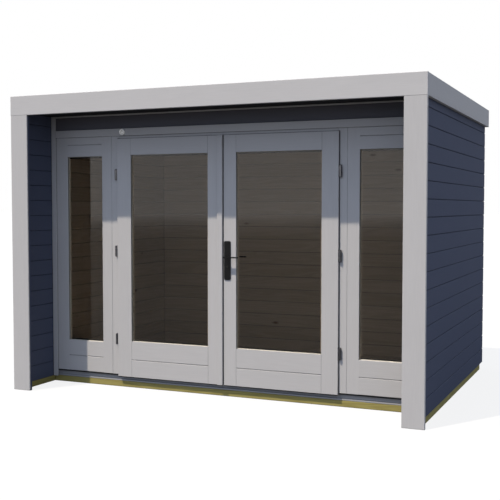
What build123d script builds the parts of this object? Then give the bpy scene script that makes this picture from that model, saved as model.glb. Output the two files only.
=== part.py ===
"""Flat-roofed timber garden house with a glazed double door under a shallow porch, in millimetres.

X runs to the right and Y to the back. The origin is on the ground, under the middle of the roof.
"""
import os

from build123d import *

os.makedirs("parts", exist_ok=True)

# Overall size
WIDTH = 3260.0
DEPTH = 2500.0
HEIGHT = 2295.0

# Portal and roof edge boards
FASCIA_HEIGHT = 148.0
BOARD_THICKNESS = 28.0
POST_WIDTH = 152.0
EDGE_EASE = 2.0

# Log walls, with the side walls running on past the rear wall
LOG_THICKNESS = 58.0
LOG_COVER = 120.0
LOG_OVERHANG = 130.0
GROOVE_WIDTH = 9.0
GROOVE_ANGLE = 45.0

# Base beams and floor
BEAM_HEIGHT = 48.0
BEAM_WIDTH = 52.0
BEAM_SETBACK = 2.0
BEAM_CHAMFER = 3.0
JOIST_WIDTH = 45.0
JOIST_COUNT = 4
FLOOR_THICKNESS = 19.0

# Roof
CEILING_RISE = 24.0
DECK_THICKNESS = 19.0
MEMBRANE_THICKNESS = 4.0
ROOF_BEAM_WIDTH = 45.0
ROOF_BEAM_HEIGHT = 95.0
ROOF_BEAM_COUNT = 3

# Glazed front, measured back from the face of the portal
FRONT_RECESS = 414.0
FRAME_DEPTH = 70.0
SILL_HEIGHT = 56.0
SILL_SETBACK = 32.0
SILL_NOSE_HEIGHT = 11.0
FRONT_BEAM_SETBACK = 18.0
HEADER_HEIGHT = 57.0
HEADER_LOG_HEIGHT = 116.0
HEAD_HEIGHT = 36.0
JAMB_WIDTH = 72.0
LATH_WIDTH = 42.0
LATH_THICKNESS = 12.0
CEILING_LATH_HEIGHT = 13.0

# Glazed frames
PANEL_THICKNESS = 44.0
GLASS_THICKNESS = 4.0
GLASS_SET = 20.0
GLASS_SEAT = 9.0
RAIL_GROOVE_RISE = 123.0

# Fixed sidelights
OUTER_STILE = 151.0
INNER_STILE = 90.0
SIDELIGHT_TOP_RAIL = 156.0
SIDELIGHT_BOTTOM_RAIL = 248.0
TOP_GROOVE_DROP = 62.0

# Door leaves: a thin lip runs round each leaf and laps the frame
DOOR_WIDTH = 1832.0
LEAF_PROUD = 18.0
LIP_GAP = 5.0
LIP_REACH = 18.0
DOOR_GAP = 6.0
MEETING_GAP = 7.0
MEETING_FROM_CENTRE = 12.0
HINGE_STILE = 126.0
GLASS_FROM_CENTRE = 118.0
LEAF_TOP_RAIL = 129.0
LEAF_BOTTOM_RAIL = 282.0
STRIP_WIDTH = 43.0
STRIP_THICKNESS = 14.0

# Barrel hinges
HINGE_HEIGHT_SHARES = (0.157, 0.529, 0.850)
HINGE_HEIGHT = 88.0
BARREL_DIAMETER = 20.0
BARREL_CHAMFER = 4.0
PIN_DIAMETER = 8.0
PIN_LENGTH = 36.0
PIN_CLEARANCE = 0.1
TAB_THICKNESS = 6.0
TAB_HEIGHT = 26.0
HINGE_OFFSET = 12.0
HINGE_SET = 6.0
KNUCKLE_GAP = 0.5

# Door handle
HANDLE_HEIGHT = 1062.0
HANDLE_BACKSET = 32.0
PLATE_HEIGHT = 291.0
PLATE_WIDTH = 52.0
PLATE_CORNER = 11.0
PLATE_THICKNESS = 6.0
PLATE_DROP = 26.0
NECK_DIAMETER = 16.0
LEVER_STANDOFF = 44.0
LEVER_DEPTH = 20.0
LEVER_HEIGHT = 10.0
LEVER_LENGTH = 110.0
LEVER_TAIL = 14.0
LEVER_CORNER = 8.0
SPINDLE_DIAMETER = 9.0
SPINDLE_CLEARANCE = 6.0
LOCK_DROP = 72.0
LOCK_DIAMETER = 17.0
LOCK_PROUD = 4.0

# Vent rosette
VENT_DIAMETER = 53.0
VENT_THICKNESS = 7.0
VENT_CHAMFER = 3.0
VENT_FROM_CENTRE = 868.0
VENT_SLOT_LENGTH = 30.0
VENT_SLOT_WIDTH = 3.0
VENT_SLOT_DEPTH = 3.0
VENT_SLOT_PITCH = 8.0
VENT_SLOT_COUNT = 3

# Planes from the front to the back
front = -DEPTH / 2
rear = DEPTH / 2
post_back = front + BOARD_THICKNESS
frame_face = front + FRONT_RECESS
frame_back = frame_face + FRAME_DEPTH
leaf_face = frame_face - LEAF_PROUD
beam_face = frame_face + FRONT_BEAM_SETBACK
sill_face = frame_face + SILL_SETBACK
lath_face = frame_face - LATH_THICKNESS
side_wall_end = rear - BOARD_THICKNESS
rear_wall_out = side_wall_end - LOG_OVERHANG
rear_wall_in = rear_wall_out - LOG_THICKNESS
rear_beam_out = rear_wall_out - BEAM_SETBACK
rear_beam_in = rear_beam_out - BEAM_WIDTH

# Planes from the middle to one side
side = WIDTH / 2
fascia_in = side - BOARD_THICKNESS
wall_out = fascia_in
wall_in = wall_out - LOG_THICKNESS
lath_in = wall_in - LATH_WIDTH
beam_out = wall_out - BEAM_SETBACK
beam_in = beam_out - BEAM_WIDTH
door_edge = DOOR_WIDTH / 2
leaf_edge = door_edge - LIP_REACH
jamb_in = leaf_edge + DOOR_GAP
jamb_out = jamb_in + JAMB_WIDTH
left_meeting_edge = MEETING_GAP / 2 - MEETING_FROM_CENTRE
right_meeting_edge = MEETING_GAP / 2 + MEETING_FROM_CENTRE
hinge_axis_x = door_edge + HINGE_OFFSET
hinge_axis_y = leaf_face + HINGE_SET
handle_x = right_meeting_edge + HANDLE_BACKSET

# Levels from the ground up
sill_top = BEAM_HEIGHT + SILL_HEIGHT
nose_top = BEAM_HEIGHT + SILL_NOSE_HEIGHT
floor_top = BEAM_HEIGHT + FLOOR_THICKNESS
fascia_bottom = HEIGHT - FASCIA_HEIGHT
ceiling = fascia_bottom + CEILING_RISE
deck_top = ceiling + DECK_THICKNESS
header_top = ceiling - HEADER_LOG_HEIGHT
frame_top = header_top - HEADER_HEIGHT
head_bottom = frame_top - HEAD_HEIGHT
body_bottom = sill_top + DOOR_GAP
body_top = head_bottom - DOOR_GAP
leaf_bottom = body_bottom - LIP_REACH
leaf_top = body_top + LIP_REACH
lip_back = frame_face - LIP_GAP
rail_groove = sill_top + RAIL_GROOVE_RISE
log_joints = []
log_joint = BEAM_HEIGHT + LOG_COVER
while log_joint < ceiling - GROOVE_WIDTH:
    log_joints.append(log_joint)
    log_joint += LOG_COVER

SIDES = ((-1, "left"), (1, "right"))


def save(node, name):
    """Label a finished node and write it."""
    node.part.label = name
    export_step(node.part, f"parts/{name}.step")


def spread(start, end, count):
    """Even places between two ends, with half a step left free at each end."""
    step = (end - start) / count
    return [start + step * (number + 0.5) for number in range(count)]


def rectangle(u0, u1, v0, v1, mode=Mode.ADD):
    """Rectangle between two corners of the sketch that is open."""
    with Locations(((u0 + u1) / 2, (v0 + v1) / 2)):
        Rectangle(abs(u1 - u0), abs(v1 - v0), mode=mode)


def v_grooves(faces, levels):
    """V-grooves along the upright faces of the section that is open."""
    corner = GROOVE_WIDTH / 2**0.5
    with Locations(*[(face, level) for face in faces for level in levels]):
        Rectangle(corner, corner, rotation=GROOVE_ANGLE, mode=Mode.SUBTRACT)


def timbers(name, run, spans, ease=EDGE_EASE):
    """Planed timbers with eased long edges that run along one axis, saved as one node."""
    with BuildPart() as node:
        for x, y, z in spans:
            if run == "x":
                plane, u, v, length = Plane.YZ.offset(x[0]), y, z, x[1] - x[0]
            elif run == "y":
                plane, u, v, length = Plane.XZ.offset(-y[0]), x, z, y[0] - y[1]
            else:
                plane, u, v, length = Plane.XY.offset(z[0]), x, y, z[1] - z[0]
            with BuildSketch(plane) as section:
                rectangle(*u, *v)
                chamfer(section.vertices(), ease)
            extrude(amount=length)
    save(node, name)


def mirrored(sign, near, far):
    """Span from near to far of the middle, on the left for a sign of -1, lowest end first."""
    return (near, far) if sign > 0 else (-far, -near)


def sheet(name, x, y, z):
    """Flat sheet with square edges, saved as one node."""
    with BuildPart() as node:
        with BuildSketch(Plane.XY.offset(z[0])):
            rectangle(*x, *y)
        extrude(amount=z[1] - z[0])
    save(node, name)


# Base beams: the side beams run through, the front and rear beams stand between them
for sign, word in SIDES:
    side_beam = (mirrored(sign, beam_in, beam_out), (post_back, rear_beam_out), (0, BEAM_HEIGHT))
    timbers(f"base_beam_{word}", "y", [side_beam], BEAM_CHAMFER)
cross_span = (-beam_in, beam_in)
for word, beam_y in (("front", (beam_face, beam_face + BEAM_WIDTH)), ("rear", (rear_beam_in, rear_beam_out))):
    timbers(f"base_beam_{word}", "x", [(cross_span, beam_y, (0, BEAM_HEIGHT))], BEAM_CHAMFER)

# Floor: boards on joists, inside the walls and behind the sill
joist_rows = spread(beam_face + BEAM_WIDTH, rear_beam_in, JOIST_COUNT)
joist_spans = [(row - JOIST_WIDTH / 2, row + JOIST_WIDTH / 2) for row in joist_rows]
timbers("floor_joists", "x", [(cross_span, span, (0, BEAM_HEIGHT)) for span in joist_spans])
sheet("floor_deck", (-wall_in, wall_in), (frame_back, rear_wall_in), (BEAM_HEIGHT, floor_top))

# Side walls of planed logs, from the portal to the rear roof edge
for sign, word in SIDES:
    with BuildPart() as side_wall:
        with BuildSketch(Plane.XZ.offset(-post_back)):
            rectangle(sign * wall_in, sign * wall_out, BEAM_HEIGHT, ceiling)
            v_grooves((sign * wall_in, sign * wall_out), log_joints)
        extrude(amount=post_back - side_wall_end)
    save(side_wall, f"{word}_wall")

# Rear wall of the same logs, between the side walls
with BuildPart() as rear_wall:
    with BuildSketch(Plane.YZ.offset(-wall_in)):
        rectangle(rear_wall_in, rear_wall_out, BEAM_HEIGHT, ceiling)
        v_grooves((rear_wall_in, rear_wall_out), log_joints)
    extrude(amount=2 * wall_in)
save(rear_wall, "rear_wall")

# Portal: two posts under a fascia that runs the whole width
for sign, word in SIDES:
    post_span = mirrored(sign, side - POST_WIDTH, side)
    timbers(f"front_post_{word}", "z", [(post_span, (front, post_back), (0, fascia_bottom))])
fascia_levels = (fascia_bottom, HEIGHT)
timbers("fascia_front", "x", [((-side, side), (front, post_back), fascia_levels)])
for sign, word in SIDES:
    timbers(f"fascia_{word}", "y", [(mirrored(sign, fascia_in, side), (post_back, rear), fascia_levels)])
timbers("fascia_rear", "x", [((-fascia_in, fascia_in), (side_wall_end, rear), fascia_levels)])

# Roof: boards on the walls and on cross beams, under a sealed membrane
roof_x = (-fascia_in, fascia_in)
roof_y = (post_back, side_wall_end)
sheet("roof_deck", roof_x, roof_y, (ceiling, deck_top))
sheet("roof_membrane", roof_x, roof_y, (deck_top, deck_top + MEMBRANE_THICKNESS))
beam_rows = spread(frame_back, rear_wall_in, ROOF_BEAM_COUNT)
beam_spans = [(row - ROOF_BEAM_WIDTH / 2, row + ROOF_BEAM_WIDTH / 2) for row in beam_rows]
beam_levels = (ceiling - ROOF_BEAM_HEIGHT, ceiling)
timbers("roof_beams", "x", [((-wall_in, wall_in), span, beam_levels) for span in beam_spans])

# Fixed frame of the glazed front
inside = (-wall_in, wall_in)
frame_y = (frame_face, frame_back)
with BuildPart() as facade_sill:
    with BuildSketch(Plane.YZ.offset(inside[0])) as sill_section:
        rectangle(sill_face, frame_back, BEAM_HEIGHT, sill_top)
        rectangle(beam_face, frame_back, BEAM_HEIGHT, nose_top)
        chamfer(sill_section.vertices().group_by(Axis.Y)[0], EDGE_EASE)
    extrude(amount=2 * wall_in)
save(facade_sill, "facade_sill")
lath_y = (lath_face, frame_face)
header_levels = (frame_top, header_top)
header_spans = [(inside, frame_y, header_levels), ((-lath_in, lath_in), lath_y, header_levels)]
timbers("facade_header_board", "x", header_spans)
log_y = (frame_face, frame_face + LOG_THICKNESS)
timbers("front_header_log", "x", [(inside, log_y, (header_top, ceiling))])
for sign, word in SIDES:
    timbers(f"door_jamb_{word}", "z", [(mirrored(sign, jamb_in, jamb_out), frame_y, (sill_top, frame_top))])
timbers("door_head", "x", [((-jamb_in, jamb_in), frame_y, (head_bottom, frame_top))])

# Cover laths in the corners of the porch
lath_spans = [mirrored(sign, lath_in, wall_in) for sign, word in SIDES]
lath_top = ceiling - CEILING_LATH_HEIGHT
timbers("corner_laths", "z", [(span, lath_y, (BEAM_HEIGHT, lath_top)) for span in lath_spans])
timbers("ceiling_lath", "x", [(inside, lath_y, (lath_top, ceiling))])


def glass_grooves(sign, edges, slot):
    """Sections of the two upright grooves that a pane is seated in, drawn in the sketch that is open."""
    for edge in (edges[0] - GLASS_SEAT, edges[1]):
        rectangle(sign * edge, sign * (edge + GLASS_SEAT), *slot)


def pane(name, sign, edges, face, levels):
    """Glass pane that reaches into the grooves on all four sides, saved as one node."""
    across = mirrored(sign, edges[0] - GLASS_SEAT, edges[1] + GLASS_SEAT)
    through = (face + GLASS_SET, face + GLASS_SET + GLASS_THICKNESS)
    sheet(name, across, through, (levels[0] - GLASS_SEAT, levels[1] + GLASS_SEAT))


# Fixed sidelights between the door jambs and the side walls
sidelight_glass = (jamb_out + INNER_STILE, wall_in - OUTER_STILE)
sidelight_levels = (sill_top + SIDELIGHT_BOTTOM_RAIL, frame_top - SIDELIGHT_TOP_RAIL)
sidelight_y = (frame_face, frame_face + PANEL_THICKNESS)
sidelight_slot = (frame_face + GLASS_SET, frame_face + GLASS_SET + GLASS_THICKNESS)
for sign, word in SIDES:
    with BuildPart() as sidelight_stiles:
        for near, far in ((jamb_out, sidelight_glass[0]), (sidelight_glass[1], wall_in)):
            with BuildSketch(Plane.XY.offset(sill_top)) as stile_section:
                rectangle(sign * near, sign * far, *sidelight_y)
                chamfer(stile_section.vertices(), EDGE_EASE)
            extrude(amount=frame_top - sill_top)
        with BuildSketch(Plane.XY.offset(sidelight_levels[0] - GLASS_SEAT)):
            glass_grooves(sign, sidelight_glass, sidelight_slot)
        extrude(amount=sidelight_levels[1] - sidelight_levels[0] + 2 * GLASS_SEAT, mode=Mode.SUBTRACT)
    save(sidelight_stiles, f"sidelight_{word}_stiles")

    rail_x = mirrored(sign, *sidelight_glass)
    with BuildPart() as sidelight_rails:
        with BuildSketch(Plane.YZ.offset(rail_x[0])) as low_section:
            rectangle(*sidelight_y, sill_top, sidelight_levels[0])
            chamfer(low_section.vertices(), EDGE_EASE)
            v_grooves(sidelight_y, (rail_groove,))
            rectangle(*sidelight_slot, sidelight_levels[0] - GLASS_SEAT, sidelight_levels[0], Mode.SUBTRACT)
        extrude(amount=rail_x[1] - rail_x[0])
        with BuildSketch(Plane.YZ.offset(rail_x[0])) as high_section:
            rectangle(*sidelight_y, sidelight_levels[1], frame_top)
            chamfer(high_section.vertices(), EDGE_EASE)
            v_grooves(sidelight_y, (frame_top - TOP_GROOVE_DROP,))
            rectangle(*sidelight_slot, sidelight_levels[1], sidelight_levels[1] + GLASS_SEAT, Mode.SUBTRACT)
        extrude(amount=rail_x[1] - rail_x[0])
    save(sidelight_rails, f"sidelight_{word}_rails")

    pane(f"sidelight_{word}_glass", sign, sidelight_glass, frame_face, sidelight_levels)

# Door leaves: stiles run the whole height, rails stand between them
leaf_glass = (GLASS_FROM_CENTRE, door_edge - HINGE_STILE)
meeting_edges = {"left": left_meeting_edge, "right": right_meeting_edge}
leaf_levels = (leaf_bottom + LEAF_BOTTOM_RAIL, leaf_top - LEAF_TOP_RAIL)
leaf_y = (leaf_face, leaf_face + PANEL_THICKNESS)
lip_y = (leaf_face, lip_back)
leaf_slot = (leaf_face + GLASS_SET, leaf_face + GLASS_SET + GLASS_THICKNESS)
for sign, word in SIDES:
    with BuildPart() as leaf_stiles:
        meeting_stile = (meeting_edges[word], leaf_glass[0], leaf_glass[0])
        stiles = (meeting_stile, (leaf_glass[1], door_edge, leaf_edge))
        for near, lip_far, body_far in stiles:
            with BuildSketch(Plane.XY.offset(leaf_bottom)) as lip_section:
                rectangle(sign * near, sign * lip_far, *lip_y)
                chamfer(lip_section.vertices().group_by(Axis.Y)[0], EDGE_EASE)
            extrude(amount=leaf_top - leaf_bottom)
            with BuildSketch(Plane.XY.offset(body_bottom)) as body_section:
                rectangle(sign * near, sign * body_far, lip_back, leaf_y[1])
                chamfer(body_section.vertices().group_by(Axis.Y)[-1], EDGE_EASE)
            extrude(amount=body_top - body_bottom)
        with BuildSketch(Plane.XY.offset(leaf_levels[0] - GLASS_SEAT)):
            glass_grooves(sign, leaf_glass, leaf_slot)
        extrude(amount=leaf_levels[1] - leaf_levels[0] + 2 * GLASS_SEAT, mode=Mode.SUBTRACT)
        if sign > 0:
            with BuildSketch(Plane.XZ.offset(-leaf_y[0])):
                with Locations((handle_x, HANDLE_HEIGHT)):
                    Circle(SPINDLE_DIAMETER / 2 + SPINDLE_CLEARANCE)
            extrude(amount=-PANEL_THICKNESS, mode=Mode.SUBTRACT)
    save(leaf_stiles, f"door_{word}_stiles")

    rail_x = mirrored(sign, *leaf_glass)
    with BuildPart() as leaf_rails:
        with BuildSketch(Plane.YZ.offset(rail_x[0])):
            rectangle(*lip_y, leaf_bottom, leaf_levels[0])
            rectangle(*leaf_y, body_bottom, leaf_levels[0])
            v_grooves(leaf_y, (rail_groove,))
            rectangle(*leaf_slot, leaf_levels[0] - GLASS_SEAT, leaf_levels[0], Mode.SUBTRACT)
        extrude(amount=rail_x[1] - rail_x[0])
        with BuildSketch(Plane.YZ.offset(rail_x[0])):
            rectangle(*lip_y, leaf_levels[1], leaf_top)
            rectangle(*leaf_y, leaf_levels[1], body_top)
            rectangle(*leaf_slot, leaf_levels[1], leaf_levels[1] + GLASS_SEAT, Mode.SUBTRACT)
        extrude(amount=rail_x[1] - rail_x[0])
    save(leaf_rails, f"door_{word}_rails")

    pane(f"door_{word}_glass", sign, leaf_glass, leaf_face, leaf_levels)

# Cover strip along the meeting edge of the left leaf
strip_y = (leaf_face - STRIP_THICKNESS, leaf_face)
strip_x = mirrored(-1, left_meeting_edge, left_meeting_edge + STRIP_WIDTH)
timbers("door_left_cover_strip", "z", [(strip_x, strip_y, (leaf_bottom, leaf_top))])

# Barrel hinges: the lower halves stand on the jambs and hold the pins, the upper halves carry the leaves
hinge_levels = [leaf_bottom + share * (leaf_top - leaf_bottom) for share in HINGE_HEIGHT_SHARES]
half_hinge = HINGE_HEIGHT / 2
with BuildPart() as hinge_pins:
    for sign, word in SIDES:
        for level in hinge_levels:
            with BuildSketch(Plane.XY.offset(level - half_hinge)):
                with Locations((sign * hinge_axis_x, hinge_axis_y)):
                    Circle(BARREL_DIAMETER / 2)
            barrel = extrude(amount=half_hinge - KNUCKLE_GAP)
            chamfer(barrel.edges().group_by(Axis.Z)[0], BARREL_CHAMFER)
            with BuildSketch(Plane.XY.offset(level - KNUCKLE_GAP)):
                with Locations((sign * hinge_axis_x, hinge_axis_y)):
                    Circle(PIN_DIAMETER / 2)
            extrude(amount=PIN_LENGTH)
            with BuildSketch(Plane.XZ.offset(-frame_face)):
                with Locations((sign * hinge_axis_x, level - half_hinge / 2)):
                    Rectangle(TAB_THICKNESS, TAB_HEIGHT)
            extrude(amount=frame_face - hinge_axis_y)
save(hinge_pins, "hinge_pins")

for sign, word in SIDES:
    with BuildPart() as knuckles:
        for level in hinge_levels:
            with BuildSketch(Plane.XY.offset(level)):
                with Locations((sign * hinge_axis_x, hinge_axis_y)):
                    Circle(BARREL_DIAMETER / 2)
            barrel = extrude(amount=half_hinge)
            chamfer(barrel.edges().group_by(Axis.Z)[-1], BARREL_CHAMFER)
            with BuildSketch(Plane.YZ.offset(sign * door_edge)):
                with Locations((hinge_axis_y, level + half_hinge / 2)):
                    Rectangle(TAB_THICKNESS, TAB_HEIGHT)
            extrude(amount=sign * HINGE_OFFSET)
            with BuildSketch(Plane.XY.offset(level)):
                with Locations((sign * hinge_axis_x, hinge_axis_y)):
                    Circle(PIN_DIAMETER / 2 + PIN_CLEARANCE)
            extrude(amount=PIN_LENGTH, mode=Mode.SUBTRACT)
    save(knuckles, f"door_{word}_hinge_knuckles")

# Handle plates on both faces of the right leaf, with a lock cylinder below the lever
plate_middle = HANDLE_HEIGHT - PLATE_DROP
with BuildPart() as handle_plates:
    for face, outward in ((leaf_y[0], 1), (leaf_y[1], -1)):
        with BuildSketch(Plane.XZ.offset(-face)):
            with Locations((handle_x, plate_middle)):
                RectangleRounded(PLATE_WIDTH, PLATE_HEIGHT, PLATE_CORNER)
            with Locations((handle_x, HANDLE_HEIGHT)):
                Circle(NECK_DIAMETER / 2 + PIN_CLEARANCE, mode=Mode.SUBTRACT)
        extrude(amount=outward * PLATE_THICKNESS)
        with BuildSketch(Plane.XZ.offset(-face)):
            with Locations((handle_x, HANDLE_HEIGHT - LOCK_DROP)):
                Circle(LOCK_DIAMETER / 2)
        extrude(amount=outward * (PLATE_THICKNESS + LOCK_PROUD))
save(handle_plates, "door_handle_plates")

# Levers on one spindle through the leaf, each a flat bar on a round neck that points to the hinges
with BuildPart() as handle_levers:
    with BuildSketch(Plane.XZ.offset(-leaf_y[0])):
        with Locations((handle_x, HANDLE_HEIGHT)):
            Circle(SPINDLE_DIAMETER / 2)
    extrude(amount=-PANEL_THICKNESS)
    for face, outward in ((leaf_y[0], -1), (leaf_y[1], 1)):
        with BuildSketch(Plane.XZ.offset(-face)):
            with Locations((handle_x, HANDLE_HEIGHT)):
                Circle(NECK_DIAMETER / 2)
        extrude(amount=-outward * (LEVER_STANDOFF + LEVER_CORNER))
        lever_y = (face + outward * LEVER_STANDOFF, face + outward * (LEVER_STANDOFF + LEVER_DEPTH))
        with BuildSketch(Plane.XY.offset(HANDLE_HEIGHT - LEVER_HEIGHT / 2)) as lever_section:
            rectangle(handle_x - LEVER_TAIL, handle_x + LEVER_LENGTH, *lever_y)
            fillet(lever_section.vertices(), LEVER_CORNER)
        extrude(amount=LEVER_HEIGHT)
save(handle_levers, "door_handle_levers")

# Round vent rosette on the header board
with BuildPart() as vent_rosette:
    with BuildSketch(Plane.XZ.offset(-lath_face)):
        with Locations((-VENT_FROM_CENTRE, frame_top + HEADER_HEIGHT / 2)):
            Circle(VENT_DIAMETER / 2)
    extrude(amount=VENT_THICKNESS)
    rim = vent_rosette.faces().sort_by(Axis.Y)[0].edges()
    chamfer(rim, VENT_CHAMFER)
    with BuildSketch(Plane.XZ.offset(VENT_THICKNESS - lath_face)):
        with Locations((-VENT_FROM_CENTRE, frame_top + HEADER_HEIGHT / 2)):
            with GridLocations(VENT_SLOT_PITCH, VENT_SLOT_PITCH, 1, VENT_SLOT_COUNT):
                Rectangle(VENT_SLOT_LENGTH, VENT_SLOT_WIDTH)
    extrude(amount=-VENT_SLOT_DEPTH, mode=Mode.SUBTRACT)
save(vent_rosette, "vent_rosette")
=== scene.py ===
"""Garden house: finishes, logs, boards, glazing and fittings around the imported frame, and its studio.

Lengths are in metres. X runs to the right, Y to the back and Z up, as in the frame.
"""
import math
import random

import bmesh
import bpy
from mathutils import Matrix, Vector


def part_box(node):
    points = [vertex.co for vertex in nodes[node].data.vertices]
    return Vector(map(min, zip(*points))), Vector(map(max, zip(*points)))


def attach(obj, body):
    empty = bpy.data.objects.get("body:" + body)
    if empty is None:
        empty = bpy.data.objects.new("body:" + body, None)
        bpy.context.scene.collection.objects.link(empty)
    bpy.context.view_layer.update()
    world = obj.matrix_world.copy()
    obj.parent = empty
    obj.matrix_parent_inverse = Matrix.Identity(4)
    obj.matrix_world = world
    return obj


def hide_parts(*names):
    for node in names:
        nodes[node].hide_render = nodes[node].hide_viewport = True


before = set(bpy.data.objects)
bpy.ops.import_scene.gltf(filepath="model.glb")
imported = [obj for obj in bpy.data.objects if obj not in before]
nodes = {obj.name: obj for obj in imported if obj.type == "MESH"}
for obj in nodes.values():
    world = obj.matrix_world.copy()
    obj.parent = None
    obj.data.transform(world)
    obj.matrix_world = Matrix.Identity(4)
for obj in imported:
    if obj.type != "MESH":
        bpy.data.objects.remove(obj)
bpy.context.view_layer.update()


def srgb(red, green, blue):
    """Linear colour of an 8-bit screen colour."""
    shares = [value / 255 for value in (red, green, blue)]
    return tuple(s / 12.92 if s < 0.04045 else ((s + 0.055) / 1.055) ** 2.4 for s in shares)


# Camera at the photograph's viewing angle
CAMERA_PLACE = (2.872, -6.9015, 1.433)
CAMERA_DIP = 0.0476
CAMERA_TURN = 0.4117
CAMERA_LENS = 64.15

# Sun, and fill light from the world
SUN_PATH = (0.628, 1.0, -2.004)
SUN_STRENGTH = 3.5
SUN_COLOUR = (1.0, 0.90, 0.76)
SUN_SPREAD = math.radians(1.0)
FILL_ALL_ROUND = 0.48
FILL_FROM_LEFT = 0.14
FILL_FRONT_AND_BACK = 0.52
FILL_COLOUR = (0.66, 0.77, 1.0)

# Floor: white where it is seen, grey where it lights the house, dimmer in mirrors near the house
FLOOR_REACH = 200.0
FLOOR_DROP = 0.0005
FLOOR_BOUNCE = 0.12
FLOOR_WHITE = 0.90
FLOOR_SHADOW_SHARE = 0.15
FLOOR_MIRRORED_SHARE = 0.15
FLOOR_FADE_START = 30.0
FLOOR_FADE_END = 150.0

# A ray is mirrored when its Glossy Depth is above this
MIRRORED_FROM_DEPTH = 0.5

# Colours
LIGHT_PAINT = srgb(196, 194, 193)
# The fascia takes a lighter copy of the light paint, as painted light
FASCIA_LIT_PAINT = srgb(201, 199, 198)
# The sill takes a darker copy of the light paint, as painted shade under the frame
SILL_SHADED_PAINT = srgb(170, 170, 172)
DARK_PAINT = srgb(87, 93, 112)
# The header log takes a lighter, greyer copy of the dark paint, as painted light from below
HEADER_LIT_PAINT = srgb(106, 105, 111)
# Near-black colour on the porch part of the roof boards
SOFFIT_DARK = srgb(56, 56, 58)
BEAM_PALE = srgb(176, 164, 100)
BEAM_DEEP = srgb(132, 122, 66)
BEAM_KNOT = srgb(84, 72, 38)
WOOD_PALE = srgb(208, 201, 186)
WOOD_DEEP = srgb(182, 171, 151)
WOOD_KNOT = srgb(122, 100, 76)
# Dark rubber of the seals, also used as painted shade on the beads, in the air holes and in the keyway
DARK_RUBBER_AND_SHADE_TONE = srgb(38, 38, 39)
MEMBRANE = srgb(52, 53, 56)
HANDLE_BLACK = srgb(16, 16, 17)
SEALANT = srgb(186, 180, 164)
# Lining of the reveals in front of the panes, as painted shade
REBATE_SHADE_COLOUR = srgb(134, 131, 122)
STEEL = srgb(104, 104, 109)
VENT_WHITE = srgb(246, 246, 244)
LOCK_STEEL = srgb(58, 57, 54)
GLASS_TINT = srgb(201, 196, 193)

# Painted shade in joints and inner corners, multiplied into the base colour
CREVICE_REACH = 0.010
CREVICE_SHADE = 0.25
CREVICE_OPENNESS = (0.25, 0.9)
CREVICE_SAMPLES = 8

# Paint: stretch and scale of its patterns, their shares in the colour, and its relief
TONE_SHIFT = 37.0
PAINT_FIBRE = dict(along=1.0, across=22.0, scale=6.0, detail=8.0, roughness=0.62, distortion=0.4)
PAINT_BRUSH = dict(along=6.0, across=210.0, scale=3.0, detail=3.0)
PAINT_PATCH = dict(along=0.9, across=2.2, scale=2.4, detail=4.0)
PAINT_FIBRE_SHARE = 0.5
PAINT_PATCH_SHARE = 0.3
PAINT_TONE_SHARE = 0.06
PAINT_COLOUR_SHARES = (0.88, 1.14)
PAINT_ROUGHNESS_RANGE = (-0.08, 0.12)
PAINT_BRUSH_SHARE = 0.35
PAINT_RELIEF = 0.0012
PAINT_RELIEF_STRENGTH = 0.35

# Bare wood, in the same terms
WOOD_RINGS = dict(along=0.05, across=1.0, scale=9.0, detail=2.0, roughness=0.5, distortion=0.6)
WOOD_FIBRE = dict(along=3.0, across=120.0, scale=4.0, detail=5.0, roughness=0.6)
RING_TURNS = 70.0
RING_SHARE = 0.34
WOOD_FIBRE_SHARE = 0.32
WOOD_TONE_SHARE = 0.36
KNOT_STRETCH = dict(along=1.2, across=3.0)
KNOT_SCALE = 2.0
KNOT_EDGE = (0.035, 0.10)
KNOT_SHARE = 0.85
WOOD_ROUGHNESS_RANGE = (-0.10, 0.12)
WOOD_SPECULAR = 0.25
WOOD_RELIEF = 0.0006
WOOD_RELIEF_STRENGTH = 0.3

# Coats, rubber and metal
COAT_FINE_DETAIL = 4.0
COAT_BROAD_DETAIL = 3.0
COAT_BROADENING = 40.0
COAT_FINE_SHARE = 0.5
COAT_ROUGHNESS_RANGE = (-0.1, 0.1)
COAT_RELIEF_STRENGTH = 0.4

# Glass
GLASS_IOR = 1.45
RIPPLE_SCALE = 2.5
RIPPLE_DETAIL = 1.0
RIPPLE_DEPTH = 0.002
RIPPLE_STRENGTH = 0.05

# Logs and boards
SEED = 7
LOG_COVER = 0.120
LOG_CHAMFER = 0.0045
LOG_EASE = 0.001
LOG_GAP = 0.002
LOG_WANDER = 0.0006
TONGUE_SHARE = 0.4
TONGUE_HEIGHT = 0.012
TONGUE_TONE = 0.5
BOARD_WIDTH = 0.096
BOARD_EASE = 0.0018
BOARD_GAP = 0.0008

# Glazing
GLASS_SEAT = 0.009
SEALANT_WIDTH = 0.003
SEALANT_DEPTH = 0.003
REBATE_DEPTH = 0.017
REBATE_LINING = 0.0012
REBATE_EASE = 0.0005
BEAD_GAP = 0.0003
BEAD_WIDTH = 0.013
BEAD_DEPTH = 0.012
BEAD_STEPS = 4

# Fillers in the joints of the fixed lights
FILLER_WIDTH = 0.0046
FILLER_PROUD = 0.0001

# Door seal, and seals under the frame and the leaves; their dark strips at the gaps are also painted shade
SEAL_SHOWN = 0.004
SEAL_HIDDEN = 0.006
SEAL_DEPTH = 0.003
SEAL_EASE = 0.001
FRAME_SEAL_SETBACK = 0.008
FRAME_SEAL_DEPTH = 0.024
FRAME_SEAL_HEIGHT = 0.013
LEAF_SEAL_SETBACK = 0.003
LEAF_SEAL_DEPTH = 0.008
LEAF_SEAL_HEIGHT = 0.008

# Lining of the posts
LINING_SETBACK = 0.010
LINING_THICKNESS = 0.0015
LINING_EASE = 0.0004

# Membrane
SHEET_EASE = 0.001
UPSTAND_HEIGHT = 0.075
UPSTAND_THICKNESS = 0.003
COVE = 0.02
COVE_CURVE_SHARE = 1 / 3
SEAM_COUNT = 2
SEAM_WIDTH = 0.06
SEAM_HEIGHT = 0.0018
SEAM_EASES = (0.00045, 0.0009)

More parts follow.
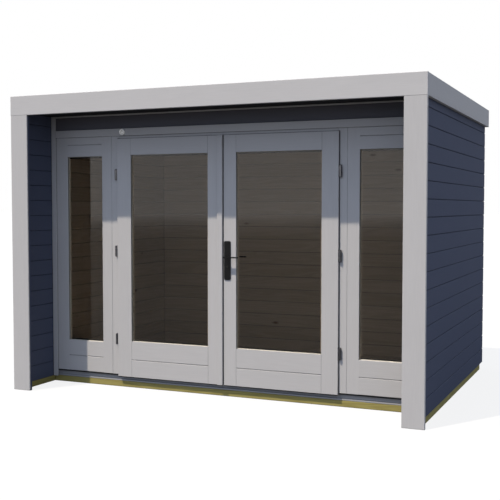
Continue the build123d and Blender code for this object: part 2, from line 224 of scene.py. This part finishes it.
# Round forms, as shares of radius and depth from the rim to the middle
ROUND_STEPS = 24
VENT_FORM_SHARES = (
    (1.0, 0.0), (1.0, 0.55), (0.95, 0.88), (0.86, 1.0), (0.76, 0.9), (0.68, 0.62), (0.4, 0.56), (0.06, 0.7),
)
AIR_HOLE_COUNT = 6
AIR_HOLE_RING_SHARE = 0.4
AIR_HOLE_FORM_SHARES = ((0.13, 0.3), (0.13, 0.63), (0.1, 0.66), (0.03, 0.66))
SCREW_FORM_SHARES = ((1.0, 0.0), (0.85, 1.0), (0.4, 1.0), (0.36, 0.25))
KEY_PLUG_FORM_SHARES = ((1.0, 0.0), (1.0, 1.0), (0.9, 1.3))

# Handle fittings
PLATE_THICKNESS = 0.006
SCREW_RADIUS = 0.0042
SCREW_HEIGHT = 0.0012
SCREW_FROM_END = 0.016
LOCK_DROP = 0.072
KEY_PLUG_RADIUS = 0.0062
KEY_PLUG_DEPTH = 0.0008
KEYWAY_WIDTH = 0.0016
KEYWAY_HEIGHT = 0.0078
KEYWAY_DEPTH = 0.0012
KEYWAY_EASE = 0.0002

draw = random.Random(SEED)


def opaque(colour, factor=1.0):
    """A colour with full alpha, made darker or lighter."""
    return tuple(min(1.0, value * factor) for value in colour) + (1.0,)


class Graph:
    """The shader tree of a new material or world, with short calls that add and join its nodes."""

    def __init__(self, owner, kind="Material"):
        owner.use_nodes = True
        self.owner = owner
        self.tree = owner.node_tree
        self.tree.nodes.clear()
        self.output = self.tree.nodes.new(f"ShaderNodeOutput{kind}")

    def feed(self, socket, value):
        """Set a socket to a plain value, or join it to another node's output."""
        if isinstance(value, bpy.types.NodeSocket):
            self.tree.links.new(value, socket)
        else:
            socket.default_value = value

    def add(self, kind, out, inputs=None, **settings):
        """Add a node, fill its inputs and return one of its outputs."""
        node = self.tree.nodes.new(f"ShaderNode{kind}")
        for name, value in settings.items():
            setattr(node, name, value)
        for name, value in (inputs or {}).items():
            self.feed(node.inputs[name], value)
        return node.outputs[out]

    def close(self, shader):
        """Join a shader to the output and return the finished material or world."""
        self.feed(self.output.inputs["Surface"], shader)
        return self.owner

    def surface(self, **values):
        """Surface shader; underscores in the names of its inputs stand for spaces."""
        inputs = {name.replace("_", " "): value for name, value in values.items()}
        return self.add("BsdfPrincipled", 0, inputs)

    def mix_shaders(self, share, first, second):
        return self.add("MixShader", 0, {0: share, 1: first, 2: second})

    def math(self, operation, first, second=0.0):
        return self.add("Math", 0, {0: first, 1: second}, operation=operation)

    def total(self, *terms):
        """Sum of values, each times its share."""
        result = 0.0
        for value, share in terms:
            result = self.math("ADD", result, self.math("MULTIPLY", value, share))
        return result

    def spread(self, value, low, high, start=0.0, end=1.0):
        """Bring a value from the range start to end into the range low to high."""
        limits = {"Value": value, "From Min": start, "From Max": end, "To Min": low, "To Max": high}
        return self.add("MapRange", 0, limits)

    def blend(self, first, second, share):
        """Mix of two colours."""
        return self.add("Mix", 2, {0: share, 6: first, 7: second}, data_type="RGBA")

    def shaded(self, colour, factor):
        """A colour times a number."""
        return self.add("VectorMath", 0, {0: colour, 1: factor}, operation="MULTIPLY")

    def board_tone(self):
        """The number that a piece gives each of its boards or logs, from 0 to 1."""
        return self.add("Attribute", "Fac", attribute_name="tone")

    def tone(self):
        """A number of its own for each board, log or piece, from 0 to 1."""
        piece = self.add("ObjectInfo", "Random")
        return self.math("FRACT", self.math("ADD", self.board_tone(), piece))

    def grain(self, run, along, across):
        """Coordinates stretched along the run of the timber and shifted from board to board."""
        place = self.add("TexCoord", "Object")
        shift = self.math("MULTIPLY", self.board_tone(), TONE_SHIFT)
        moved = self.add("VectorMath", 0, {0: place, 1: shift}, operation="ADD")
        scale = [across] * 3
        scale["xyz".index(run)] = along
        return self.add("Mapping", 0, {"Vector": moved, "Scale": scale})

    def noise(self, place, scale, detail, roughness=0.55, distortion=0.0):
        values = {"Vector": place, "Scale": scale, "Detail": detail}
        values.update({"Roughness": roughness, "Distortion": distortion})
        return self.add("TexNoise", 0, values)

    def streaks(self, run, along, across, **pattern):
        """Noise that is stretched along the run of the timber."""
        return self.noise(self.grain(run, along, across), **pattern)

    def painted_crevice_shade(self, least):
        """Painted shade: 1 on open faces, falling to a least value in joints and inner corners."""
        openness = self.add("AmbientOcclusion", "AO", {"Distance": CREVICE_REACH}, samples=CREVICE_SAMPLES)
        return self.spread(openness, least, 1.0, *CREVICE_OPENNESS)

    def relief(self, height, distance, strength):
        """Normals of a surface with fine bumps."""
        return self.add("Bump", 0, {"Strength": strength, "Distance": distance, "Height": height})

    def ray(self, word):
        """What the Light Path node says of a ray."""
        return self.add("LightPath", word)

    def seen(self, mirrored_share=1.0):
        """1 for rays from the camera, straight or through glass, a share for mirrored rays, else 0."""
        straight = self.math("MAXIMUM", self.ray("Is Camera Ray"), self.ray("Is Transmission Ray"))
        either = self.math("MAXIMUM", straight, self.ray("Is Glossy Ray"))
        mirrored = self.math("GREATER_THAN", self.ray("Glossy Depth"), MIRRORED_FROM_DEPTH)
        return self.math("MULTIPLY", either, self.spread(mirrored, 1.0, mirrored_share))


def painted(name, colour, run, roughness=0.6, sheen=0.12):
    """Brushed opaque paint on planed timber, with its grain just showing through."""
    graph = Graph(bpy.data.materials.new(name))
    fibre = graph.streaks(run, **PAINT_FIBRE)
    brush = graph.streaks(run, **PAINT_BRUSH)
    patch = graph.streaks(run, **PAINT_PATCH)
    share = graph.total(
        (fibre, PAINT_FIBRE_SHARE), (patch, PAINT_PATCH_SHARE), (graph.tone(), PAINT_TONE_SHARE)
    )
    darkest, palest = (opaque(colour, factor) for factor in PAINT_COLOUR_SHARES)
    ridges = graph.total((fibre, 1.0), (brush, PAINT_BRUSH_SHARE))
    return graph.close(graph.surface(
        # Painted shade darkens the colour in joints and inner corners
        Base_Color=graph.shaded(graph.blend(darkest, palest, share), graph.painted_crevice_shade(CREVICE_SHADE)),
        Roughness=graph.spread(brush, *(roughness + change for change in PAINT_ROUGHNESS_RANGE)),
        Specular_IOR_Level=sheen,
        Normal=graph.relief(ridges, PAINT_RELIEF, PAINT_RELIEF_STRENGTH),
    ))


def bare_wood(name, pale, deep, knot, run, roughness=0.62, crevice_shade=CREVICE_SHADE):
    """Planed softwood with growth rings, fibre and knots."""
    graph = Graph(bpy.data.materials.new(name))
    rings = graph.math("MULTIPLY", graph.streaks(run, **WOOD_RINGS), RING_TURNS)
    lines = graph.spread(graph.math("SINE", rings), 0.0, 1.0, -1.0, 1.0)
    fibre = graph.streaks(run, **WOOD_FIBRE)
    place = graph.grain(run, **KNOT_STRETCH)
    centres = graph.add("TexVoronoi", "Distance", {"Vector": place, "Scale": KNOT_SCALE})
    spots = graph.spread(centres, 1.0, 0.0, *KNOT_EDGE)
    share = graph.total((lines, RING_SHARE), (fibre, WOOD_FIBRE_SHARE), (graph.tone(), WOOD_TONE_SHARE))
    plank = graph.blend(opaque(pale), opaque(deep), share)
    plank = graph.blend(plank, opaque(knot), graph.math("MULTIPLY", spots, KNOT_SHARE))
    return graph.close(graph.surface(
        # Painted shade darkens the colour in joints and inner corners
        Base_Color=graph.shaded(plank, graph.painted_crevice_shade(crevice_shade)),
        Roughness=graph.spread(fibre, *(roughness + change for change in WOOD_ROUGHNESS_RANGE)),
        Specular_IOR_Level=WOOD_SPECULAR,
        Normal=graph.relief(graph.math("ADD", fibre, lines), WOOD_RELIEF, WOOD_RELIEF_STRENGTH),
    ))


def speckled(name, colour, scale, contrast, roughness, metallic=0.0, depth=0.0003, specular=0.4):
    """Moulded, coated or plated surface with fine unevenness."""
    graph = Graph(bpy.data.materials.new(name))
    place = graph.add("TexCoord", "Object")
    fine = graph.noise(place, scale, COAT_FINE_DETAIL)
    broad = graph.noise(place, scale / COAT_BROADENING, COAT_BROAD_DETAIL)
    share = graph.total((fine, COAT_FINE_SHARE), (broad, 1 - COAT_FINE_SHARE))
    return graph.close(graph.surface(
        Base_Color=graph.blend(opaque(colour, 1 - contrast), opaque(colour, 1 + contrast), share),
        Roughness=graph.spread(share, *(roughness + change for change in COAT_ROUGHNESS_RANGE)),
        Metallic=metallic,
        Specular_IOR_Level=specular,
        Normal=graph.relief(fine, depth, COAT_RELIEF_STRENGTH),
    ))


def clear_glass(name):
    """Clear float glass, faintly uneven, that lets lamplight through."""
    graph = Graph(bpy.data.materials.new(name))
    ripple = graph.noise(graph.add("TexCoord", "Object"), RIPPLE_SCALE, RIPPLE_DETAIL)
    pane = graph.surface(
        Base_Color=opaque(GLASS_TINT),
        Roughness=0.0,
        IOR=GLASS_IOR,
        Transmission_Weight=1.0,
        Normal=graph.relief(ripple, RIPPLE_DEPTH, RIPPLE_STRENGTH),
    )
    open_way = graph.add("BsdfTransparent", 0, {"Color": opaque(GLASS_TINT)})
    return graph.close(graph.mix_shaders(graph.ray("Is Shadow Ray"), pane, open_way))


LIGHT = {run: painted(f"light_paint_{run}", LIGHT_PAINT, run) for run in "xyz"}
DARK = {run: painted(f"dark_paint_{run}", DARK_PAINT, run, roughness=0.75, sheen=0.06) for run in "xyz"}
FASCIA_LIT = painted("fascia_painted_light", FASCIA_LIT_PAINT, "x")
SILL_SHADED = painted("sill_painted_shade", SILL_SHADED_PAINT, "x")
HEADER_LIT = painted("header_painted_light", HEADER_LIT_PAINT, "x", roughness=0.75, sheen=0.06)
SOFFIT_DARKENED = painted("soffit_dark", SOFFIT_DARK, "y", roughness=0.8, sheen=0.03)
BEAM = {
    run: bare_wood(f"treated_beam_{run}", BEAM_PALE, BEAM_DEEP, BEAM_KNOT, run, roughness=0.75)
    for run in "xy"
}
WOOD = {run: bare_wood(f"natural_wood_{run}", WOOD_PALE, WOOD_DEEP, WOOD_KNOT, run) for run in "xy"}
# The beads touch the panes, which would give them painted crevice shade all along
BEADING = bare_wood("glazing_bead", WOOD_PALE, WOOD_DEEP, WOOD_KNOT, "x", crevice_shade=1.0)
GLASS = clear_glass("clear_glass")
DARK_RUBBER_AND_SHADE = speckled("rubber_and_painted_shade", DARK_RUBBER_AND_SHADE_TONE, scale=900.0, contrast=0.12, roughness=0.6)
PUTTY = speckled("glazing_sealant", SEALANT, scale=900.0, contrast=0.06, roughness=0.5)
REBATE_SHADE = speckled("rebate_painted_shade", REBATE_SHADE_COLOUR, scale=900.0, contrast=0.06, roughness=0.7)
SHEETING = speckled("roof_sheeting", MEMBRANE, scale=160.0, contrast=0.16, roughness=0.72, depth=0.0012)
BLACK = speckled(
    "handle_coat", HANDLE_BLACK, scale=1400.0, contrast=0.18, roughness=0.34, depth=0.0002, specular=0.25
)
ZINC = speckled("hinge_zinc", STEEL, scale=700.0, contrast=0.12, roughness=0.24, metallic=1.0)
ENAMEL = speckled(
    "vent_enamel", VENT_WHITE, scale=1100.0, contrast=0.04, roughness=0.35, metallic=0.4, specular=0.5
)
LOCKWORK = speckled("lock_steel", LOCK_STEEL, scale=900.0, contrast=0.08, roughness=0.4, metallic=0.6)


def dress(material, *names):
    """Give nodes of the frame a material."""
    for name in names:
        for slot in nodes[name].material_slots:
            slot.material = material


dress(FASCIA_LIT, "fascia_front", "fascia_rear")
dress(LIGHT["x"], "facade_header_board", "ceiling_lath", "door_head")
dress(LIGHT["y"], "fascia_left", "fascia_right")
dress(LIGHT["z"], "corner_laths", "door_left_cover_strip")
for word in ("left", "right"):
    dress(LIGHT["z"], f"front_post_{word}", f"door_jamb_{word}")
    dress(LIGHT["z"], f"sidelight_{word}_stiles", f"door_{word}_stiles")
    dress(LIGHT["x"], f"sidelight_{word}_rails", f"door_{word}_rails")
    dress(GLASS, f"sidelight_{word}_glass", f"door_{word}_glass")
    dress(ZINC, f"door_{word}_hinge_knuckles")
    dress(BEAM["y"], f"base_beam_{word}")
dress(SILL_SHADED, "facade_sill")
dress(HEADER_LIT, "front_header_log")
dress(BEAM["x"], "base_beam_front", "base_beam_rear", "floor_joists")
dress(WOOD["x"], "roof_beams")
dress(ZINC, "hinge_pins")
dress(BLACK, "door_handle_plates", "door_handle_levers")
dress(ENAMEL, "vent_rosette")


def place(run, along, across, up):
    """Point of a timber that runs along one axis; a timber along Z has its section in X and Y."""
    if run == "x":
        return (along, across, up)
    if run == "y":
        return (across, along, up)
    return (across, up, along)


def span(middle, width):
    """Both ends of a width about its middle."""
    return (middle - width / 2, middle + width / 2)


def eased(across, up, below, above):
    """Section with chamfered corners."""
    u0, u1 = across
    v0, v1 = up
    return [
        (u0 + below, v0), (u1 - below, v0), (u1, v0 + below), (u1, v1 - above),
        (u1 - above, v1), (u0 + above, v1), (u0, v1 - above), (u0, v0 + below),
    ]


# Edges of such a section on its far and on its near side
FAR_EDGES = (1, 2, 3)
NEAR_EDGES = (5, 6, 7)


def new_object(name, data):
    """New object in the scene."""
    made = bpy.data.objects.new(name, data)
    bpy.context.scene.collection.objects.link(made)
    return made


class Shape:
    """Points and faces of many like bodies, gathered into one piece.

    Where a call takes marks, it is the number of one material, or a function of edge and bay that gives it.
    """

    def __init__(self):
        self.points = []
        self.faces = []
        self.marks = []
        self.tones = []

    def face(self, indices, mark, tone):
        self.faces.append(indices)
        self.marks.append(mark)
        self.tones.append(tone)

    def loft(self, rings, marks=0, tone=0.0, closed=False):
        """Skin over rings of points, with caps where the rings don't close."""
        mark = marks if callable(marks) else lambda edge, bay: marks
        count = len(rings[0])
        first = len(self.points)
        for ring in rings:
            self.points.extend(ring)
        bays = len(rings) if closed else len(rings) - 1
        for bay in range(bays):
            low = first + bay * count
            high = first + (bay + 1) % len(rings) * count
            for edge in range(count):
                after = (edge + 1) % count
                self.face((low + edge, low + after, high + after, high + edge), mark(edge, bay), tone)
        if not closed:
            last = first + (len(rings) - 1) * count
            self.face(tuple(range(first, first + count)), mark(0, 0), tone)
            self.face(tuple(range(last, last + count)), mark(0, bays - 1), tone)

    def timber(self, run, across, up, stations, ease, marks=0, tone=0.0):
        """Straight timber along one axis; ease is its chamfer, or a pair of them for below and above."""
        below, above = ease if isinstance(ease, tuple) else (ease, ease)
        outline = eased(across, up, below, above)
        rings = [[place(run, station, u, v) for u, v in outline] for station in stations]
        self.loft(rings, marks, tone)

    def collar(self, profile, plane, corners, marks=0):
        """Mitred frame with four corners in the plane xz or xy; profile holds (inset, depth) points."""
        (left, low), (right, high) = corners
        rings = []
        for at_right, at_high in ((False, False), (True, False), (True, True), (False, True)):
            ring = []
            for inset, depth in profile:
                u = right - inset if at_right else left + inset
                v = high - inset if at_high else low + inset
                ring.append((u, depth, v) if plane == "xz" else (u, v, depth))
            rings.append(ring)
        self.loft(rings, marks, closed=True)

    def turned(self, centre, outward, radius, depth, form_shares, marks=0):
        """Round body about a line along Y; outward is 1 where it stands out to the back, else -1."""
        turns = [2 * math.pi * number / ROUND_STEPS for number in range(ROUND_STEPS)]
        rings = []
        for radius_share, depth_share in form_shares:
            out = radius * radius_share
            y = centre.y + outward * depth * depth_share
            rings.append([(centre.x + out * math.cos(t), y, centre.z + out * math.sin(t)) for t in turns])
        self.loft(rings, marks)

    def piece(self, name, body, slot, materials):
        """Make the mesh object and let it ride on a body; the slot is not used."""
        mesh = bpy.data.meshes.new(name)
        mesh.from_pydata(self.points, [], self.faces)
        for material in materials:
            mesh.materials.append(material)
        mesh.polygons.foreach_set("material_index", self.marks)
        mesh.attributes.new("tone", "FLOAT", "FACE").data.foreach_set("value", self.tones)
        solid = bmesh.new()
        solid.from_mesh(mesh)
        bmesh.ops.recalc_face_normals(solid, faces=solid.faces)
        solid.to_mesh(mesh)
        solid.free()
        made = new_object(name, mesh)
        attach(made, body)
        return made


# Lines of the frame that the pieces follow
jamb_low, jamb_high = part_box("door_jamb_left")
left_leaf_low, left_leaf_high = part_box("door_left_stiles")
right_leaf_low, right_leaf_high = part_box("door_right_stiles")
wall_low, wall_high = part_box("left_wall")
rear_low, rear_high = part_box("rear_wall")
log_levels = [wall_low.z]
while log_levels[-1] + LOG_COVER < wall_high.z - LOG_CHAMFER:
    log_levels.append(log_levels[-1] + LOG_COVER)
log_levels.append(wall_high.z)


def log_wall(node, run, inner_edges, stations, inner_marks):
    """Planed logs with tongues, laid on each other; inner_marks gives the inner side's material by bay."""
    low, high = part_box(node)
    near, far = (low.x, high.x) if run == "y" else (low.y, high.y)
    shape = Shape()
    for number, bottom in enumerate(log_levels[:-1]):
        lowest, highest = number == 0, number == len(log_levels) - 2
        wander = draw.uniform(-LOG_WANDER, LOG_WANDER)
        shape.timber(
            run,
            (near + wander, far + wander),
            (bottom if lowest else bottom + LOG_GAP / 2, log_levels[number + 1]),
            stations,
            (LOG_EASE if lowest else LOG_CHAMFER, LOG_EASE if highest else LOG_CHAMFER),
            lambda edge, bay: inner_marks[bay] if edge in inner_edges else 0,
            draw.random(),
        )
    across = span((near + far) / 2, (far - near) * TONGUE_SHARE)
    for joint in log_levels[1:-1]:
        shape.timber(run, across, span(joint, TONGUE_HEIGHT), stations, LOG_EASE, tone=TONGUE_TONE)
    logs = shape.piece(f"{node}_logs", "house", "dark_log", [DARK[run], WOOD[run]])
    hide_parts(node)


def boarding(node, stations, bay_marks, name, materials):
    """Boards side by side over a sheet of the frame, running from front to back."""
    low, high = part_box(node)
    count = round((high.x - low.x) / BOARD_WIDTH)
    width = (high.x - low.x) / count
    shape = Shape()
    for number in range(count):
        left = low.x + number * width + BOARD_GAP / 2
        shape.timber(
            "y",
            (left, left + width - BOARD_GAP),
            (low.z, high.z),
            stations,
            BOARD_EASE,
            lambda edge, bay: bay_marks[bay],
            draw.random(),
        )
    boards = shape.piece(name, "house", "natural_wood", materials)
    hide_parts(node)


def glazing(word, panel, body):
    """Sealant and a rebate lined with painted shade in front of a pane, and a rounded wooden bead behind it
    with dark rubber as painted shade along its bottom and top.
    """
    low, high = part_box(f"{panel}_{word}_glass")
    seat = Vector((GLASS_SEAT, 0, GLASS_SEAT))
    low, high = low + seat, high - seat
    corners = ((low.x, low.z), (high.x, high.z))

    front = low.y
    rebate = (front - REBATE_DEPTH, front)
    line = Shape()
    line.collar([(0, front), (SEALANT_WIDTH, front), (0, front - SEALANT_DEPTH)], "xz", corners)
    # The side and top reveals take a darker lining, as painted shade
    for across in ((low.x, low.x + REBATE_LINING), (high.x - REBATE_LINING, high.x)):
        line.timber("z", across, rebate, (low.z, high.z), REBATE_EASE, 1)
    line.timber("x", rebate, (high.z - REBATE_LINING, high.z), (low.x, high.x), REBATE_EASE, 1)
    line.piece(f"{panel}_{word}_sealant", body, "light_paint", [PUTTY, REBATE_SHADE])

    def painted_shade_faces(edge, bay):
        """1, for dark rubber as painted shade, on the flat face towards the pane along the bottom and the
        top.
        """
        return int(edge == 0 and bay in (0, 2))

    back = high.y + BEAD_GAP
    turns = [math.pi / 2 * step / BEAD_STEPS for step in range(BEAD_STEPS + 1)]
    curve = [(BEAD_WIDTH * math.cos(turn), back + BEAD_DEPTH * math.sin(turn)) for turn in turns]
    bead = Shape()
    bead.collar([(0, back)] + curve, "xz", corners, painted_shade_faces)
    bead.piece(f"{panel}_{word}_bead", body, "natural_wood", [BEADING, DARK_RUBBER_AND_SHADE])


def sidelight_fillers():
    """Filled and painted joints between the stiles and rails of the fixed lights."""
    filler = Shape()
    for word in ("left", "right"):
        stile_low, stile_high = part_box(f"sidelight_{word}_stiles")
        pane_low, pane_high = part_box(f"sidelight_{word}_glass")
        rails = ((stile_low.z, pane_low.z + GLASS_SEAT), (pane_high.z - GLASS_SEAT, stile_high.z))
        for joint in (pane_low.x + GLASS_SEAT, pane_high.x - GLASS_SEAT):
            for bottom, top in rails:
                filler.timber(
                    "z",
                    span(joint, FILLER_WIDTH),
                    (stile_low.y - FILLER_PROUD, stile_low.y + FILLER_WIDTH),
                    (bottom + FILLER_WIDTH / 2, top - FILLER_WIDTH / 2),
                    FILLER_PROUD,
                )
    filler.piece("sidelight_fillers", "house", "light_paint", [LIGHT["z"]])


def door_seal():
    """Rubber seal on the frame, under the lips of the door leaves and a little beyond them, where its dark
    strip is also painted shade in the gap.
    """
    face = jamb_low.y
    front = face - SEAL_DEPTH
    profile = [
        (-SEAL_SHOWN, face), (SEAL_HIDDEN, face), (SEAL_HIDDEN - SEAL_EASE, front),
        (SEAL_EASE - SEAL_SHOWN, front),
    ]
    upright = (jamb_low.z, left_leaf_high.z + SEAL_SHOWN)
    level = (left_leaf_low.x + SEAL_HIDDEN, right_leaf_high.x - SEAL_HIDDEN)
    seal = Shape()
    for run, lip, inward, stations in (
        ("z", left_leaf_low.x, 1, upright),
        ("z", right_leaf_high.x, -1, upright),
        ("x", left_leaf_high.z, -1, level),
    ):
        section = [(lip + inward * inset, y) for inset, y in profile]
        seal.loft([
            [(u, y, station) if run == "z" else (station, y, u) for u, y in section] for station in stations
        ])
    seal.piece("door_seal", "house", "membrane", [DARK_RUBBER_AND_SHADE])


def under_seals():
    """Dark seals under the fixed frame and under each leaf, which are also painted shade along the gaps
    there.
    """
    sill_low, sill_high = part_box("facade_sill")
    seal_front = jamb_low.y + FRAME_SEAL_SETBACK
    under_frame = Shape()
    under_frame.timber(
        "x",
        (seal_front, seal_front + FRAME_SEAL_DEPTH),
        (sill_high.z - FRAME_SEAL_HEIGHT, sill_high.z),
        (sill_low.x, sill_high.x),
        SEAL_EASE,
    )
    under_frame.piece("frame_seal", "house", "membrane", [DARK_RUBBER_AND_SHADE])
    for word, low, high in (
        ("left", left_leaf_low, left_leaf_high),
        ("right", right_leaf_low, right_leaf_high),
    ):
        under_leaf = Shape()
        under_leaf.timber(
            "x",
            (low.y + LEAF_SEAL_SETBACK, low.y + LEAF_SEAL_SETBACK + LEAF_SEAL_DEPTH),
            (low.z - LEAF_SEAL_HEIGHT, low.z),
            (low.x + LEAF_SEAL_SETBACK, high.x - LEAF_SEAL_SETBACK),
            SEAL_EASE,
        )
        under_leaf.piece(f"door_{word}_seal", f"{word}_door", "membrane", [DARK_RUBBER_AND_SHADE])


def porch_lining():
    """Dark lining on the inner edges of the front posts."""
    lining = Shape()
    for word, inward in (("left", 1), ("right", -1)):
        low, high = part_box(f"front_post_{word}")
        edge = high.x if inward > 0 else low.x
        lining.timber(
            "z",
            sorted((edge, edge + inward * LINING_THICKNESS)),
            (low.y + LINING_SETBACK, high.y),
            (low.z, high.z),
            LINING_EASE,
            tone=draw.random(),
        )
    lining.piece("porch_lining", "house", "dark_log", [DARK["z"]])


def roof_covering():
    """Roof membrane with lap seams, turned up inside the fascia."""
    low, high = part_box("roof_membrane")
    base = high.z
    roofing = Shape()
    roofing.timber("y", (low.x, high.x), (low.z, base), (low.y, high.y), SHEET_EASE)
    for number in range(SEAM_COUNT):
        middle = low.x + (high.x - low.x) * (number + 1) / (SEAM_COUNT + 1)
        roofing.timber(
            "y",
            span(middle, SEAM_WIDTH),
            (base, base + SEAM_HEIGHT),
            (low.y + COVE, high.y - COVE),
            SEAM_EASES,
        )
    curve = COVE * COVE_CURVE_SHARE
    upstand = [
        (0, base), (COVE, base), (curve, base + curve), (UPSTAND_THICKNESS, base + COVE),
        (UPSTAND_THICKNESS, base + UPSTAND_HEIGHT), (0, base + UPSTAND_HEIGHT),
    ]
    roofing.collar(upstand, "xy", ((low.x, low.y), (high.x, high.y)))
    roof_sheet = roofing.piece("roof_sheet", "house", "membrane", [SHEETING])
    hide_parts("roof_membrane")


def round_vent():
    """Round vent with a crowned rim, and air holes in its dished middle, drawn as dark rubber discs of
    painted shade.
    """
    low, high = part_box("vent_rosette")
    centre = (low + high) / 2
    centre.y = high.y
    radius = (high.x - low.x) / 2
    depth = high.y - low.y
    vent = Shape()
    vent.turned(centre, -1, radius, depth, VENT_FORM_SHARES)
    # Each air hole is a dark rubber disc, as painted shade for an open hole
    for number in range(AIR_HOLE_COUNT):
        turn = 2 * math.pi * (number + 0.5) / AIR_HOLE_COUNT
        aside = Vector((math.cos(turn), 0, math.sin(turn))) * radius * AIR_HOLE_RING_SHARE
        vent.turned(centre + aside, -1, radius, depth, AIR_HOLE_FORM_SHARES, 1)
    vent_grille = vent.piece("vent_grille", "house", "vent_white", [ENAMEL, DARK_RUBBER_AND_SHADE])
    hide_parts("vent_rosette")


def handle_fittings():
    """Screws and key plugs on both handle plates."""
    low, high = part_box("door_handle_plates")
    lever_low, lever_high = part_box("door_handle_levers")
    middle = (low.x + high.x) / 2
    lock_z = (lever_low.z + lever_high.z) / 2 - LOCK_DROP
    screws = Shape()
    plugs = Shape()
    for face, boss, outward in (
        (right_leaf_low.y - PLATE_THICKNESS, low.y, -1),
        (right_leaf_high.y + PLATE_THICKNESS, high.y, 1),
    ):
        for z in (low.z + SCREW_FROM_END, high.z - SCREW_FROM_END):
            screws.turned(Vector((middle, face, z)), outward, SCREW_RADIUS, SCREW_HEIGHT, SCREW_FORM_SHARES)
        lock = Vector((middle, boss, lock_z))
        plugs.turned(lock, outward, KEY_PLUG_RADIUS, KEY_PLUG_DEPTH, KEY_PLUG_FORM_SHARES)
        # The keyway is a dark rubber slit, as painted shade in the slot
        plugs.timber(
            "z",
            span(middle, KEYWAY_WIDTH),
            sorted((boss, boss + outward * KEYWAY_DEPTH)),
            span(lock_z, KEYWAY_HEIGHT),
            KEYWAY_EASE,
            1,
        )
    screws.piece("handle_screws", "right_door", "handle_black", [BLACK])
    plugs.piece("lock_plugs", "right_door", "hinge_steel", [LOCKWORK, DARK_RUBBER_AND_SHADE])


# Logs, boards, glazing and fittings
front_back = jamb_high.y
side_stations = (wall_low.y, front_back, rear_high.y, wall_high.y)
log_wall("left_wall", "y", FAR_EDGES, side_stations, (0, 1, 0))
log_wall("right_wall", "y", NEAR_EDGES, side_stations, (0, 1, 0))
log_wall("rear_wall", "x", NEAR_EDGES, (rear_low.x, rear_high.x), (1,))
floor_low, floor_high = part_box("floor_deck")
boarding("floor_deck", (floor_low.y, floor_high.y), (0,), "floor_boards", [WOOD["y"]])
deck_low, deck_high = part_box("roof_deck")
# The porch part of the roof boards takes the near-black colour
boarding("roof_deck", (deck_low.y, front_back, deck_high.y), (1, 0), "roof_boards", [WOOD["y"], SOFFIT_DARKENED])
for word in ("left", "right"):
    glazing(word, "sidelight", "house")
    glazing(word, "door", f"{word}_door")
sidelight_fillers()
door_seal()
under_seals()
porch_lining()
roof_covering()
round_vent()
handle_fittings()


def studio_world():
    """White where it is seen, and bluish fill light elsewhere, stronger from the front, back and left."""
    graph = Graph(bpy.data.worlds.new("studio"), "World")
    way = graph.add("TexCoord", "Generated")
    to_right = graph.add("SeparateXYZ", "X", {0: way})
    to_back = graph.add("SeparateXYZ", "Y", {0: way})
    front_or_back = graph.math("ABSOLUTE", to_back)
    sides = graph.total((to_right, -FILL_FROM_LEFT), (front_or_back, FILL_FRONT_AND_BACK))
    level = graph.math("ADD", FILL_ALL_ROUND, sides)
    fill = graph.add("Background", 0, {"Color": opaque(FILL_COLOUR), "Strength": level})
    white = graph.add("Background", 0, {"Color": (1.0, 1.0, 1.0, 1.0), "Strength": 1.0})
    return graph.close(graph.mix_shaders(graph.seen(), fill, white))


def studio_floor():
    """Pale floor that keeps the shadow of the house."""
    graph = Graph(bpy.data.materials.new("studio_floor"))
    bounce = graph.add("BsdfDiffuse", 0, {"Color": opaque((FLOOR_BOUNCE,) * 3)})
    matt = graph.add("BsdfDiffuse", 0, {"Color": opaque((FLOOR_WHITE,) * 3)})
    glow = graph.add("Emission", 0, {"Strength": 1.0})
    shown = graph.mix_shaders(FLOOR_SHADOW_SHARE, glow, matt)
    far = graph.add("VectorMath", "Value", {0: graph.add("TexCoord", "Object")}, operation="LENGTH")
    mirrored_share = graph.spread(far, FLOOR_MIRRORED_SHARE, 1.0, FLOOR_FADE_START, FLOOR_FADE_END)
    material = graph.close(graph.mix_shaders(graph.seen(mirrored_share), bounce, shown))
    corners = [
        (x * FLOOR_REACH, y * FLOOR_REACH, -FLOOR_DROP) for x, y in ((-1, -1), (1, -1), (1, 1), (-1, 1))
    ]
    mesh = bpy.data.meshes.new("floor")
    mesh.from_pydata(corners, [], [(0, 1, 2, 3)])
    mesh.materials.append(material)
    floor = new_object("floor", mesh)


def studio_sun():
    """Sunlight from high on the front left."""
    lamp = bpy.data.lights.new("sun", "SUN")
    lamp.energy = SUN_STRENGTH
    lamp.color = SUN_COLOUR
    lamp.angle = SUN_SPREAD
    sun = new_object("sun", lamp)
    sun.rotation_euler = Vector(SUN_PATH).to_track_quat("-Z", "Y").to_euler()


def studio_camera():
    """Camera at the photograph's viewing angle."""
    lens = bpy.data.cameras.new("camera")
    lens.lens = CAMERA_LENS
    camera = new_object("camera", lens)
    camera.location = CAMERA_PLACE
    camera.rotation_euler = (math.pi / 2 - CAMERA_DIP, 0.0, CAMERA_TURN)
    return camera


scene = bpy.context.scene
scene.view_settings.view_transform = "Standard"
scene.world = studio_world()
studio_floor()
studio_sun()
scene.camera = studio_camera()
